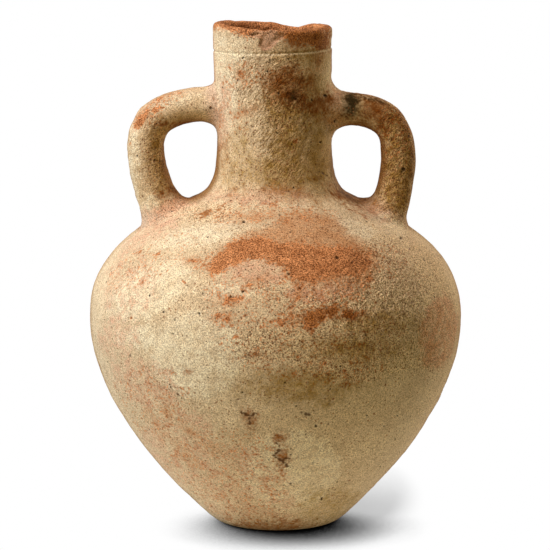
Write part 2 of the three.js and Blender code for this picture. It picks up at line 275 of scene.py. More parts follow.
marks = {
    "bare": [  # slip worn through to the red clay
        area([(207, 264), (213, 258), (222, 251), (232, 241), (244, 238), (256, 236), (270, 239),
              (284, 243), (300, 242), (318, 246), (336, 246), (352, 247), (366, 253), (372, 262),
              (366, 273), (352, 278), (338, 274), (326, 280), (312, 283), (300, 281), (290, 279),
              (284, 270), (276, 264), (262, 259), (250, 259), (240, 262), (231, 266), (222, 272),
              (213, 276), (208, 271)]),
        area([(301, 325), (306, 312), (321, 308), (335, 305), (336, 314), (320, 322), (310, 332)]),
        area([(342, 312), (348, 309), (359, 311), (352, 318), (345, 317)]),
        area([(270, 321), (280, 318), (294, 316), (290, 321), (281, 327), (276, 324)]),
        oval(227, 301, 4, 5), oval(239, 299, 5.5, 3, 15), oval(218, 315, 2.4, 3), oval(227, 319, 3, 1.6),
        oval(235.5, 337, 2.4, 1.6), oval(249, 285, 3, 1.4, 20), oval(301, 287, 4, 1.8, 45),
        oval(298.5, 298, 2, 3.4, -30), oval(369, 279, 2.6, 2.6), oval(193, 261, 2, 1.2, -30),
        oval(184, 282, 2.4, 1, -40), oval(158, 254, 2.4, 1.2, 35), oval(140, 252, 4, 1, 30),
        oval(131, 318, 1.6, 1), oval(299, 357, 2.4, 1.6), oval(325, 363, 1.8, 2.4),
        oval(344, 371, 2.6, 1.8, 30), oval(312, 389, 1.4, 1.8), oval(335, 382, 1.8, 1.2),
        area([(276, 28), (296, 27), (331, 24), (332, 48), (318, 49), (304, 44), (290, 40), (282, 36)]),
        area([(150, 109), (149, 117), (144, 124), (138, 129), (133, 127), (136, 119), (142, 112)],
             steep=1.8),
        oval(154.5, 110, 3.2, 3.4, steep=1.6), oval(162, 108, 4, 1.4, 15), oval(158, 99.5, 5, 1.2, 25),
        oval(130, 144, 1.2, 2), oval(241, 74, 2.6, 3), oval(230, 68, 1.8, 1.6), oval(296, 141, 2, 2),
    ],
    "flecks": [  # places where small flecks of slip are lost
        oval(318, 293, 44, 15, 4, most=-1.7), oval(300, 318, 50, 10, 10, most=-2.7),
        oval(236, 300, 32, 24, most=-3.1), oval(212, 264, 16, 10, most=-1.4),
        oval(262, 346, 46, 24, -20, most=-3.3), oval(330, 356, 50, 28, most=-3.2),
        oval(376, 262, 26, 16, most=-2.6), oval(150, 262, 40, 14, 30, most=-3.0),
        oval(225, 480, 58, 48, most=-3.1), oval(150, 400, 40, 30, most=-3.1),
        oval(240, 75, 16, 12, most=-2.4), oval(232, 118, 14, 16, most=-2.8),
        oval(262, 214, 50, 8, most=-2.2), oval(156, 104, 24, 10, 30, most=-2.0),
        oval(400, 135, 20, 26, 30, most=-2.0),
    ],
    "rubbed": [  # slip rubbed thin, so that the clay shows through it
        area([(206, 266), (216, 254), (228, 242), (242, 236), (254, 230), (266, 228), (276, 222),
              (284, 216), (296, 211), (310, 211), (324, 214), (338, 222), (348, 234), (362, 242),
              (376, 252), (380, 264), (372, 280), (358, 286), (340, 282), (322, 286), (304, 286),
              (292, 284), (282, 268), (268, 258), (250, 255), (236, 261), (224, 268), (210, 275)]),
        oval(257, 217, 22, 4.5, 4), oval(310, 317, 26, 8, 14), oval(351, 314, 10, 4),
        oval(232, 301, 13, 5), oval(222, 317, 8, 4), oval(250, 285, 9, 2.4, 25), oval(300, 292, 5, 8, -30),
        oval(192, 261, 6, 3), oval(431, 352, 5, 9, -16), oval(438, 336, 15, 28, -10, most=-0.8),
        oval(213, 447, 10, 4, -25), oval(167, 412, 4, 7, 10), oval(190, 430, 8, 2.4, -40),
        oval(160, 428, 14, 3, -50, most=-1.0), oval(180, 448, 14, 3, -48, most=0.0),
        oval(240, 73, 6, 4, -25), oval(320, 106, 13, 7), oval(318, 62, 4, 13, -8), oval(312, 82, 3, 10),
        oval(244, 112, 7, 2, 20), oval(330, 112, 8, 5), oval(144, 114, 6, 12, -40),
        oval(164, 98, 12, 1.4, 22), oval(378, 102, 13, 2, -20), oval(404, 124, 4, 14, 25),
        oval(411, 160, 2, 22), oval(332, 120, 12, 5, -5),
    ],
    "scar": [  # flake lost from the outside of the mouth
        area([(253, 32), (250, 36), (259, 39), (258, 47), (263, 51), (271, 49), (279, 41), (288, 37),
              (284, 32), (270, 29)]),
    ],
    "pink": [  # thin slip over clay that fired pinker
        oval(256, 269, 36, 14), oval(322, 289, 36, 14, 6, steep=3), oval(439, 332, 18, 36, -8, steep=3),
        oval(130, 285, 22, 30, -20, most=-1.5), oval(176, 448, 34, 40, -50, most=0.0),
        oval(146, 384, 34, 20, -25, most=1.0), oval(222, 120, 8, 34), oval(338, 98, 10, 13, 30),
        oval(172, 207, 22, 9, 20), oval(150, 232, 34, 8, 32), oval(270, 196, 50, 9),
        oval(366, 206, 20, 8, -30), oval(245, 490, 50, 36, -30, most=-1.0),
        oval(118, 336, 16, 20, most=0.0),
    ],
    "olive": [  # soft brown cast: soil rubbed into the slip, and painted shade on the shaded right of the belly, under the right handle's opening and inside the left handle
        area([(344, 92), (366, 96), (394, 99), (412, 118), (420, 150), (416, 190), (408, 216), (384, 210),
              (374, 190), (382, 160), (376, 134), (362, 124), (344, 126)]),
        oval(288, 146, 20, 46), oval(318, 162, 15, 38, steep=1.5), oval(296, 104, 32, 36, most=8.0),
        # painted shade: the first three ovals darken the shaded right of the belly
        oval(352, 350, 40, 12), oval(376, 324, 30, 10), oval(300, 386, 48, 15), oval(302, 56, 22, 8),
        oval(236, 162, 15, 26, most=0.0), oval(332, 506, 26, 16, most=0.0), oval(288, 172, 40, 20),
        # painted shade under the right handle's opening
        oval(345, 193, 38, 6, -14),
        # partly soil, partly painted shade: the inner side of the left handle, away from the light
        area([(152, 128), (162, 121), (180, 118), (180, 122), (168, 133), (164, 150), (168, 172),
              (174, 190), (160, 190), (154, 168), (150, 146)]),
    ],
    "stainAndShade": [  # brown soil stain, and painted shade along the foot and round the right handle's opening
        area([(276, 76), (284, 66), (298, 66), (306, 74), (308, 86), (306, 98), (314, 110), (300, 110),
              (290, 104), (278, 94)]),
        oval(286, 88, 24, 16, -30), oval(320, 103, 12, 8),
        area([(280, 33), (300, 30), (331, 27), (332, 50), (312, 50), (292, 49), (284, 42)]),
        # painted shade: the first oval darkens the foot where it meets the floor
        oval(270, 532, 62, 11), oval(318, 315, 17, 6, 16), oval(351, 313, 8, 3), oval(208, 212, 10, 3, 18),
        oval(188, 373, 3, 2, most=2.0), oval(250, 418, 6, 7), oval(279, 440, 5, 6),
        oval(282, 456, 7, 9, -20), oval(168, 193, 8, 2.4, 20), oval(166, 124, 14, 2),
        # painted shade: the last oval darkens the top of the right handle's opening
        oval(255, 354, 5, 2.4), oval(269, 360, 4, 2), oval(376, 112, 20, 12, -30),
        # painted shade under the right handle's opening
        oval(340, 196, 18, 4, -38),
    ],
    "sootAndShade": [  # nearly black stain, and a stroke of painted shade along the lower border of the right handle's opening
        # painted shade: a dark stroke along the lower border of the right handle's opening
        stroke([(336, 172), (341, 184), (348, 193), (358, 198.5), (367, 195)], 1.4),
        area([(344, 95), (352, 93), (360, 96), (362, 104), (358, 113), (351, 116), (345, 112)]),
        oval(374, 100, 12, 1.6, -14), oval(293, 97, 3, 4),
    ],
    "pale": [  # thicker, whiter slip, and painted light on the lit left of the belly
        oval(357, 230, 20, 8, -25), oval(296, 207, 12, 1.6, 13), oval(264, 225, 9, 1.6, 10),
        oval(222, 232, 18, 10, 20), oval(390, 223, 18, 8, -32), oval(198, 355, 46, 44),
        oval(440, 336, 12, 28, -8, steep=2), oval(150, 290, 46, 24, 30), oval(196, 236, 44, 10, 12),
        oval(236, 56, 18, 6), oval(230, 42, 16, 6), oval(152.5, 203.5, 8, 8.5, steep=3),
        oval(230, 292, 28, 10), oval(290, 470, 50, 40), oval(168, 102, 30, 7, 14), oval(134, 150, 5, 36),
        # painted light: the third oval lightens the lit left of the belly
        oval(329, 90, 3, 12, 20), oval(328, 84, 3, 20), oval(150, 338, 34, 12), oval(336, 94, 6, 14, 30),
        oval(410, 168, 2, 28), oval(228, 90, 10, 50),
    ],
    "speckled": [  # brown specks crowd here
        oval(352, 335, 84, 52), oval(262, 345, 36, 22), oval(300, 248, 90, 30, most=2.0),
        oval(236, 305, 36, 24, most=0.0), oval(300, 292, 60, 20, most=4.0), oval(272, 32, 64, 10),
        oval(284, 90, 26, 50), oval(262, 160, 34, 38, most=0.0), oval(385, 262, 40, 30),
        oval(400, 160, 30, 80), oval(150, 400, 36, 24, most=-3.0), oval(400, 280, 50, 44),
        oval(425, 320, 36, 60), oval(156, 150, 12, 50), oval(200, 212, 50, 14),
    ],
    "coarse": [  # slip gone rough, like sand
        oval(285, 125, 34, 60), oval(262, 84, 34, 34), oval(400, 150, 24, 76), oval(156, 155, 14, 48),
        oval(272, 30, 64, 9), oval(380, 300, 50, 60),
    ],
    "dark": [  # scratches
        stroke([(241.5, 412.5), (250, 416), (256, 413.5)], 0.8),
        stroke([(249, 416), (250, 425)], 0.6),
        stroke([(277, 443), (280, 450), (273, 455), (283, 461.5), (289, 467)], 0.9),
        stroke([(279, 459), (290, 458)], 0.6),
        stroke([(170, 384), (173, 391)], 0.7),
        stroke([(176, 393), (184, 399)], 0.6),
        stroke([(301, 413), (310, 415)], 0.7),
        stroke([(344, 252), (351, 258)], 0.6),
        stroke([(318, 170), (326, 176)], 0.5),
    ],
}

# Single pits of the photograph: pixel and radius there
pits = [
    (244, 222, 1.3), (337, 258, 1.1), (289, 274, 1.0), (243, 291.5, 1.1), (231, 297, 0.9), (199, 314, 1.1),
    (175.4, 320.6, 1.0), (401, 238, 1.1), (270, 60, 0.9), (289, 59, 0.9), (296, 99, 1.1), (312, 100, 1.0),
    (325, 95.6, 1.5), (277, 133, 0.9), (252, 127, 0.8), (320, 142, 1.0), (311, 142, 0.9), (335, 121, 1.1),
    (211, 108, 1.0), (285, 383, 1.0), (262, 377.5, 0.9), (316, 426, 1.0), (322, 499, 1.0), (291, 484, 0.9),
    (403.5, 169, 1.7), (402, 171.6, 1.1), (173, 334, 0.9), (163.6, 312.4, 0.9), (130, 356, 0.9),
    (386, 370, 1.0), (242, 393, 0.9), (155, 160, 1.1), (243, 58, 0.8), (203, 293, 0.8), (304, 312, 0.9),
    (280, 215, 0.8),
]
marks["pit"] = [oval(x, y, radius, radius) for x, y, radius in pits]

# Where the photograph doesn't reach, patches stand where a random field of wildPitch passes a level
wildPitch = 34  # mm
wildDetail = 0.35  # weight of a second field, three times finer
wildSlope = 0.4  # depth inside a patch, as a share of the pitch, where the field is 1 over the level
wildMarks = {  # level and shift in the lattice
    "bare": (0.68, 5.3),
    "rubbed": (0.52, 5.3),
    "flecks": (0.70, 5.3),
    "pink": (0.28, 11.9),
    "stainAndShade": (0.68, 18.1),
    "olive": (0.40, 43.1),
    "pale": (0.35, 24.7),
    "speckled": (0.05, 30.2),
    "coarse": (0.15, 37.6),
}
leastDepth = {"bare": 5.0, "stainAndShade": 5.0, "sootAndShade": 4.0}  # pixels
farAway = 12.0  # mm past which a mark's edge makes no difference
facingFull = 0.3  # cosine of the angle between surface and camera from which only the drawn marks count


def strokeDistance(pixels, corners):  # pixels from the nearest stretch of a line of points
    nearest = np.full(pixels.shape[:-1], np.inf)
    for start, end in zip(corners[:-1], corners[1:]):
        run = np.subtract(end, start)
        away = pixels - start
        share = np.clip(away @ run / (run @ run), 0, 1)
        nearest = np.minimum(nearest, np.linalg.norm(away - share[..., None] * run, axis=-1))
    return nearest


# Where a line to the right crosses the closed outline an odd number of times
def insideOutline(pixels, corners):
    inside = np.zeros(pixels.shape[:-1], bool)
    x, y = pixels[..., 0], pixels[..., 1]
    for (x0, y0), (x1, y1) in zip(corners, corners[1:] + corners[:1]):
        crosses = (y0 > y) != (y1 > y)
        fall = y1 - y0 if y1 != y0 else 1.0
        inside ^= crosses & (x < x0 + (y - y0) * (x1 - x0) / fall)
    return inside


# Pixels inside a mark's edge, negative outside it. In its middle an oval is as deep as its smaller half size,
# or as deep as least where that is more
def markDepth(pixels, mark, least):
    if "outline" in mark:
        away = strokeDistance(pixels, mark["outline"] + mark["outline"][:1])
        return np.where(insideOutline(pixels, mark["outline"]), away, -away) * mark["steep"]
    if "stroke" in mark:
        return mark["width"] - strokeDistance(pixels, mark["stroke"])
    tilt = np.radians(mark["tilt"])
    across, down = pixels[..., 0] - mark["at"][0], pixels[..., 1] - mark["at"][1]
    u = (across * np.cos(tilt) - down * np.sin(tilt)) / mark["size"][0]
    v = (across * np.sin(tilt) + down * np.cos(tilt)) / mark["size"][1]
    depth = (1 - np.hypot(u, v)) * max(min(mark["size"]), least) * mark["steep"]
    return np.minimum(depth, mark["most"])


# Depth in mm inside the marks of one kind: those of the photograph where the surface faces the camera, and
# elsewhere the random patches
def markField(kind, points, normals):
    pixels = pixelOf(points)
    drawn = np.full(points.shape[:-1], -farAway)
    for mark in marks[kind]:
        drawn = np.maximum(drawn, markDepth(pixels, mark, leastDepth.get(kind, 0.0)) * pixelSize)
    facing = smooth(0.0, facingFull, -(normals @ forward))
    if kind not in wildMarks:
        return mix(-farAway, drawn, facing)
    level, shift = wildMarks[kind]
    wild = fieldOf(points, wildPitch, shift) + wildDetail * fieldOf(points, wildPitch / 3, shift) - level
    return mix(np.clip(wild * wildPitch * wildSlope, -farAway, farAway), drawn, facing)


# Painted shade in the crooks, where the handles meet the wall: 1 on the border of a handle's opening, 0 a
# little way off it.
# Each opening is an ellipsoid, its middle and half sizes in mm
crooks = [((-50.0, 0.0, 219.0), (16.0, 34.0, 23.0)), ((49.0, 0.0, 218.0), (15.5, 34.0, 23.0))]
crookShadeEnd = 1.26  # where the painted shade ends, in half sizes


def crookShadeOf(points):
    share = 0.0
    for middle, half in crooks:
        away = np.linalg.norm((points - middle) / np.array(half), axis=-1)
        share = np.maximum(share, 1 - smooth(1.0, crookShadeEnd, away))
    return share


def markFields(points, normals):
    return {kind: markField(kind, points, normals) for kind in marks} | {"crookShade": crookShadeOf(points)}


# Relief of the surface, one field for every piece so that neighbours meet

relief = {
    "unevenness": (46, 0.42, 3.1),  # fields: pitch and height in mm, and shift
    "swell": (16, 0.20, 10.1),
    "grit": (3.0, 0.07, 17.1),
    "coarseGrit": (2.6, 0.30, 21.3),
    "turningWide": (9, 0.20, 31.7),
    "turningFine": (2.6, 0.09, 36.7),
    "scarEdge": (3, 0.8, 8.8),
    "scarFloor": (2.2, 0.5, 4.4),
    "turningStretch": (0.03, 0.03, 1),  # the rings hardly change round the jar
    "wallBand": (1.5, 7),  # mm off the wall between which the rings and the groove fade away
    "coarseBand": (-5, 8),  # depths in a mark between which its bite or roughness grows
    "scarBand": (0, 1.4),
    "pitBand": (-0.4, 0.7),
    "baseBand": (0, 5),  # heights between which the relief grows: the flat base stays flat
    "grooveDepth": 15.0,  # below the mouth, at the sides
    "grooveTilt": 0.026,  # rise per mm to the right, and towards the front
    "grooveBow": 0.033,
    "grooveWidth": 0.7,
    "grooveCut": 0.6,
    "lipDrop": 0.6,  # a painted highlight, a pale line, runs along its lower lip
    "lipWidth": 0.45,
    "scarBite": 1.3,
    "pitBite": 0.9,
}


# Way in mm above the groove's middle, which bends up a little in front and on the right
def aboveGroove(points):
    x, y, z = np.moveaxis(points, -1, 0)
    middle = jar["rimHeight"] - relief["grooveDepth"]
    return z - (middle + relief["grooveTilt"] * x - relief["grooveBow"] * np.minimum(y, 0))


# Height of the relief in mm: fields of several pitches, rings left by the turning wheel on the wall, the
# groove as a bell curve of height, and the scar and the pits as bites
def reliefOf(points, normals):
    onWall = 1 - smooth(*relief["wallBand"], np.abs(wallDistance(points)))
    height = sum(waves(relief[name], points) for name in ("unevenness", "swell", "grit"))
    coarse = smooth(*relief["coarseBand"], markField("coarse", points, normals))
    height += waves(relief["coarseGrit"], points) * coarse
    rings = points * relief["turningStretch"]
    height += onWall * (waves(relief["turningWide"], rings) + waves(relief["turningFine"], rings))
    height -= onWall * relief["grooveCut"] * np.exp(-(aboveGroove(points) / relief["grooveWidth"]) ** 2)
    scar = smooth(*relief["scarBand"], markField("scar", points, normals) + waves(relief["scarEdge"], points))
    height -= relief["scarBite"] * scar * (1 + waves(relief["scarFloor"], points))
    height -= relief["pitBite"] * smooth(*relief["pitBand"], markField("pit", points, normals))
    return height * smooth(*relief["baseBand"], points[..., 2])


# Meshes


# Puts a grid of points into a mesh: columns close round, and rows close too unless poles gives the two end
# points that fans of triangles run to. Faces are turned round if the volume comes out negative
def putMesh(name, rows, fields, poles=None):
    count, columns = rows.shape[:2]
    index = np.arange(count * columns).reshape(count, columns)
    if poles is None:
        index = np.concatenate([index, index[:1]])
    right = np.roll(index, -1, axis=1)
    quads = np.stack([index[:-1], right[:-1], right[1:], index[1:]], axis=-1).reshape(-1, 4)
    points = rows.reshape(-1, 3)
    fans = np.zeros((0, 3), int)
    if poles is not None:
        first, last = len(points), len(points) + 1
        points = np.concatenate([points, poles])
        start = np.stack([right[0], index[0], np.full(columns, first)], axis=-1)
        end = np.stack([index[-1], right[-1], np.full(columns, last)], axis=-1)
        fans = np.concatenate([start, end])
    a, b, c = (points[quads[:, i]] for i in (0, 1, 2))
    if np.einsum("ij,ij->", a, np.cross(b, c)) < 0:
        quads, fans = quads[:, ::-1], fans[:, ::-1]
    mesh = bpy.data.meshes.new(name)
    mesh.vertices.add(len(points))
    mesh.vertices.foreach_set("co", (points / metre).ravel())
    mesh.loops.add(quads.size + fans.size)
    mesh.loops.foreach_set("vertex_index", np.concatenate([quads.ravel(), fans.ravel()]))
    mesh.polygons.add(len(quads) + len(fans))
    starts = np.concatenate([np.arange(len(quads)) * 4, quads.size + np.arange(len(fans)) * 3])
    mesh.polygons.foreach_set("loop_start", starts)
    mesh.update(calc_edges=True)
    mesh.shade_smooth()
    for label, values in fields.items():
        values = np.concatenate([values.ravel(), np.zeros(len(points) - values.size)])
        mesh.attributes.new(label, "FLOAT", "POINT").data.foreach_set("value", values)
    return addObject(name, mesh)


def dressNode(piece, node):
    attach(piece, "root")
    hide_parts(node)
    return piece


# Wall pieces: rows of the outline between two seams, each running on a little under its neighbour

ownRise = 26  # mm from a seam over which a piece's own tint grows
noSeam = 99  # stands past an end that meets no other piece


def skin(lengths, columns, seams):
    section, normal = sectionAt(lengths)
    points, normals = turned(section, columns), turned(normal, columns, lambda z: 0 * z)
    past = np.maximum(np.maximum(seams[0] - lengths, lengths - seams[1]), 0)
    fields = markFields(points, normals)
    ownness = smooth(0, ownRise, np.minimum(lengths - seams[0], seams[1] - lengths))
    fields["own"] = np.broadcast_to(ownness[:, None], points.shape[:-1])
    height = reliefOf(points, normals) - jar["dive"] * past[:, None] ** 2
    return points + normals * height[..., None], fields


def inside(lengths, columns, thickness):  # inner rows, offset from the outline by the wall
    section, normal = sectionAt(lengths)
    return turned(section - normal * thickness[:, None], columns)


def joined(rows, fields, inner):  # adds hidden rows, which are bare clay all over
    extra = {kind: np.full(inner.shape[:-1], -farAway) for kind in marks}
    extra["bare"] = np.full(inner.shape[:-1], farAway)
    extra["own"] = np.ones(inner.shape[:-1])
    extra |= {label: np.zeros(inner.shape[:-1]) for label in fields.keys() - extra.keys()}
    together = {label: np.concatenate([fields[label], extra[label]]) for label in extra}
    return np.concatenate([rows, inner]), together


bodyGrid = {"columns": 520, "lowerRows": 158, "shoulderRows": 158, "innerRows": 16}
baseRings = [6, 16, 25]  # radii of the rows under the base
floorEdge = 8  # radius at which the rows inside end


def makeLowerBody():
    columns = bodyGrid["columns"]
    sideRows = np.linspace(jar["baseRadius"] - 1, bellySeam + jar["overlap"], bodyGrid["lowerRows"])
    rows, fields = skin(np.concatenate([baseRings, sideRows]), columns, (-noSeam, bellySeam))
    back = np.linspace(bellySeam, floorEdge, bodyGrid["innerRows"])
    depth = np.clip(1 - outlineAt(back)[:, 1] / jar["bellyHeight"], 0, 1)
    rows, fields = joined(rows, fields, inside(back, columns, mix(jar["wall"], jar["floor"], depth ** 3)))
    heights = np.array([0, jar["floor"]])
    poles = np.stack([leanAt(heights), np.zeros(2), heights], axis=-1)
    return dressNode(putMesh("lowerBody", rows, fields, poles), "lower_body")


def makeShoulder():
    columns = bodyGrid["columns"]
    lengths = np.linspace(bellySeam - jar["overlap"], rootSeam + jar["overlap"], bodyGrid["shoulderRows"])
    rows, fields = skin(lengths, columns, (bellySeam, rootSeam))
    back = np.linspace(rootSeam, bellySeam, bodyGrid["innerRows"])
    rows, fields = joined(rows, fields, inside(back, columns, np.full(len(back), jar["wall"])))
    return dressNode(putMesh("shoulder", rows, fields), "shoulder")


neckGrid = {"columns": 400, "lowRows": 148, "highRows": 70, "passageRows": 22}
fineReach = 19  # mm under the mouth from which the rows stand closer, and how far down inside
finePassage = 9
wear = {  # where the mouth is worn down: direction seen from above, half angle, depth
    "places": [(88, 100, 3.4), (66, 28, 2.4)],
    "tilt": 0.028,  # the mouth also stands higher on the left
    "reach": 14.0,
    "ragged": (5, 0.8, 17.3),  # field
    "band": 5.5,  # height of the bare band under the edge, and the field that bends its border
    "border": (9, 1.6, 2.6),
}


def wearAt(points):
    angle = np.degrees(np.arctan2(points[..., 1], points[..., 0] - leanAt(points[..., 2])))
    total = wear["tilt"] * points[..., 0]
    for turn, spreadAngle, depth in wear["places"]:
        away = np.abs((angle - turn + 180) % 360 - 180)
        total = total + depth * smooth(0, 1, 1 - away / spreadAngle)
    return total


# The neck also bends down at its worn mouth: every level within the wear's reach sinks in proportion
def makeNeck():
    columns = neckGrid["columns"]
    fineStart = lengthAtHeight(jar["rimHeight"] - fineReach)
    passageStart = rimTop + finePassage
    lengths = np.concatenate([
        np.linspace(rootSeam - jar["overlap"], fineStart, neckGrid["lowRows"], endpoint=False),
        np.linspace(fineStart, passageStart, neckGrid["highRows"], endpoint=False),
        np.linspace(passageStart, outlineLength[-1] - 1, neckGrid["passageRows"]),
    ])
    rows, fields = skin(lengths, columns, (rootSeam, outlineLength[-1] + noSeam))
    nearTop = np.clip(1 - (jar["rimHeight"] - rows[..., 2]) / wear["reach"], 0, 1)
    ragged = np.maximum(waves(wear["ragged"], rows), 0)
    rows[..., 2] -= (wearAt(rows) + ragged) * nearTop
    depth = wear["band"] + waves(wear["border"], rows * (1, 1, 0)) - (rimTop - lengths)[:, None]
    fields["bare"] = np.maximum(fields["bare"], np.clip(depth, -farAway, farAway))
    # painted highlight: a pale line along the groove's lower lip, where light catches it
    lip = (aboveGroove(rows) + relief["lipDrop"]) / relief["lipWidth"]
    fields["line"] = np.exp(-lip ** 2) * (lengths < rimTop)[:, None]
    underside = turned(np.array([[jar["spigot"], jar["rootHeight"] - jar["wall"]]]), columns)
    rows, fields = joined(rows, fields, underside)
    return dressNode(putMesh("neck", rows, fields), "neck")


lowerBody = makeLowerBody()
shoulder = makeShoulder()
neck = makeNeck()
print("wall made:", sum(len(piece.data.polygons) for piece in (lowerBody, shoulder, neck)), "faces")

# Handles: pulled loops of clay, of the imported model's measures

handles = {
    "left": {
        "side": -1,
        "crownHeight": 252.2,  # centre line where it leaves the neck
        "reach": 75.8,  # and at its farthest from the axis
        "reachHeight": 226.0,
        "squareness": 0.74,  # of the upper bend
        "footRadius": 63.2,
        "footHeight": 172.0,
        "topThickness": 19.6,
        "footThickness": 24.8,
        "width": 25.0,
        "power": 1.8,  # of its section: 2 is an ellipse, more is squarer, less has a ridge in front
    },
    "right": {
        "side": 1,
        "crownHeight": 250.4,
        "reach": 74.0,
        "reachHeight": 220.0,
        "squareness": 0.78,
        "footRadius": 64.7,
        "footHeight": 172.3,
        "topThickness": 18.5,
        "footThickness": 21.4,
        "width": 24.0,
        "power": 2.1,
    },
}
handleGrid = {
    "curveSteps": 200,
    "dense": 420,  # rows of the blank
    "rows": 200,
    "sides": 140,
    "rootDepth": 9.0,  # how far the centre line starts inside the neck, and the ends sink into the wall
    "buried": 3.0,
    "footPull": 0.35,  # the lower curve's inner corners: shares of its fall and of its way inwards
    "footTurn": 0.3,
    "fingered": (9, 0.35, 13.1),  # field of the finger marks
    "ownBand": (4, 18),  # mm off the wall between which the handle's own tint grows
}


# Cubic Bezier from four (x, z) points, at shares t from 0 to 1
def bezier(corners, t):
    a, b, c, d = (np.array(corner, float) for corner in corners)
    t = t[:, None]
    return a * (1 - t) ** 3 + 3 * b * t * (1 - t) ** 2 + 3 * c * t * t * (1 - t) + d * t ** 3


# Centre line of a handle, equally spaced: two Bezier curves that meet upright where it reaches farthest
def centreLine(handle, count):
    start = jar["neckRadius"] - handleGrid["rootDepth"]
    reach, bend = handle["reach"], handle["reachHeight"]
    crown, square = handle["crownHeight"], handle["squareness"]
    foot, footHeight = handle["footRadius"], handle["footHeight"]
    pull = (bend - footHeight) * handleGrid["footPull"]
    t = np.linspace(0, 1, handleGrid["curveSteps"])
    corners = (mix(start, reach, square), crown), (reach, mix(bend, crown, square))
    upper = [(start, crown), *corners, (reach, bend)]
    corners = (reach, bend - pull), (mix(foot, reach, handleGrid["footTurn"]), footHeight + pull)
    lower = [(reach, bend), *corners, (foot, footHeight)]
    line = np.concatenate([bezier(upper, t), bezier(lower, t)[1:]])
    length = lengthsAlong(line)
    place = np.linspace(0, length[-1], count)
    x = np.interp(place, length, line[:, 0]) * handle["side"]
    z = np.interp(place, length, line[:, 1])
    return np.stack([x + leanAt(z), np.zeros(count), z], axis=-1)


# Outward normals of a grid whose columns close round, from its two directions; outward is a rough guide
def gridNormals(points, outward):
    around = np.roll(points, -1, axis=1) - np.roll(points, 1, axis=1)
    normal = unit(np.cross(around, np.gradient(points, axis=0)))
    return normal * np.sign((normal * outward).sum())


# Blank of a handle: at each step of its centre line a superellipse, its half sizes from the thickness and the
# width. Returns the points and their outward normals
def handleBlank(handle):
    line = centreLine(handle, handleGrid["dense"])
    across = np.array([0.0, 1.0, 0.0])
    bendOut = np.cross(unit(np.gradient(line, axis=0)), across) * handle["side"]
    thickness = mix(handle["topThickness"], handle["footThickness"], np.linspace(0, 1, len(line)))
    turn = np.linspace(0, 2 * np.pi, handleGrid["sides"], endpoint=False)
    out, wide = (np.sign(way) * np.abs(way) ** (2 / handle["power"]) for way in (np.cos(turn), np.sin(turn)))
    arm = out[:, None] * (bendOut * thickness[:, None])[:, None, :] / 2
    arm = arm + (wide * handle["width"] / 2)[:, None] * across
    points = line[:, None, :] + arm
    return points, gridNormals(points, arm)


def rowAt(grid, place):  # values of a dense grid at fractional rows, one for each column
    low = np.clip(np.floor(place).astype(int), 0, len(grid) - 2)
    part = (place - low)[..., None]
    columns = np.arange(grid.shape[1])
    return grid[low, columns] * (1 - part) + grid[low + 1, columns] * part


# Fractional row at which each column of a blank crosses a distance from the wall, from its top or its foot
def crossing(blank, wanted, fromFoot):
    distance = wallDistance(blank)[::-1] if fromFoot else wallDistance(blank)
    first = np.argmax(distance > wanted, axis=0)
    columns = np.arange(blank.shape[1])
    before, after = distance[first - 1, columns], distance[first, columns]
    place = first - 1 + (wanted - before) / (after - before)
    return len(blank) - 1 - place if fromFoot else place


def toWall(points, wanted=0.0):  # moves points along the wall's normal to a distance from it
    for _ in range(3):
        points = points - (wallDistance(points) - wanted)[..., None] * wallNormal(points)
    return points


def makeHandle(side, handle, blank, blankNormals):
    start = crossing(blank, -handleGrid["buried"], False)
    end = crossing(blank, -handleGrid["buried"], True)
    place = mix(start, end, np.linspace(0, 1, handleGrid["rows"])[:, None])
    points, normals = rowAt(blank, place), unit(rowAt(blankNormals, place))
    fields = markFields(points, normals)
    fields["own"] = smooth(*handleGrid["ownBand"], wallDistance(points))
    height = reliefOf(points, normals) + waves(handleGrid["fingered"], points) * fields["own"]
    rows = points + normals * height[..., None]
    poles = toWall(np.stack([points[0].mean(axis=0), points[-1].mean(axis=0)]), -handleGrid["buried"])
    return dressNode(putMesh(side + "Handle", rows, fields, poles), f"{side}_handle")


# Luting: clay wiped round a handle's root. Its section runs from the wall to the handle on a quadratic Bezier
# curve whose corner is their meeting line, so it leaves both without an edge

lutings = {  # rise up the handle, spread along the wall in the bend and behind it
    ("left", "upper"): {"rise": 11.0, "inner": 9.0, "outer": 4.5},
    ("left", "lower"): {"rise": 12.0, "inner": 13.0, "outer": 5.0},
    ("right", "upper"): {"rise": 14.0, "inner": 13.0, "outer": 9.0},
    ("right", "lower"): {"rise": 12.0, "inner": 13.0, "outer": 5.0},
}
lutingGrid = {
    "rows": 40,
    "skirt": 1.6,  # how far its edges run on under the surface, and how deep there
    "sunk": 0.45,
    "buried": 2.0,  # depth of the hidden rows
    "unevenRise": (8, 0.3, 3.3),  # fields
    "unevenSpread": (7, 0.3, 6.1),
    "smear": (5.5, 0.45, 9.4),
}


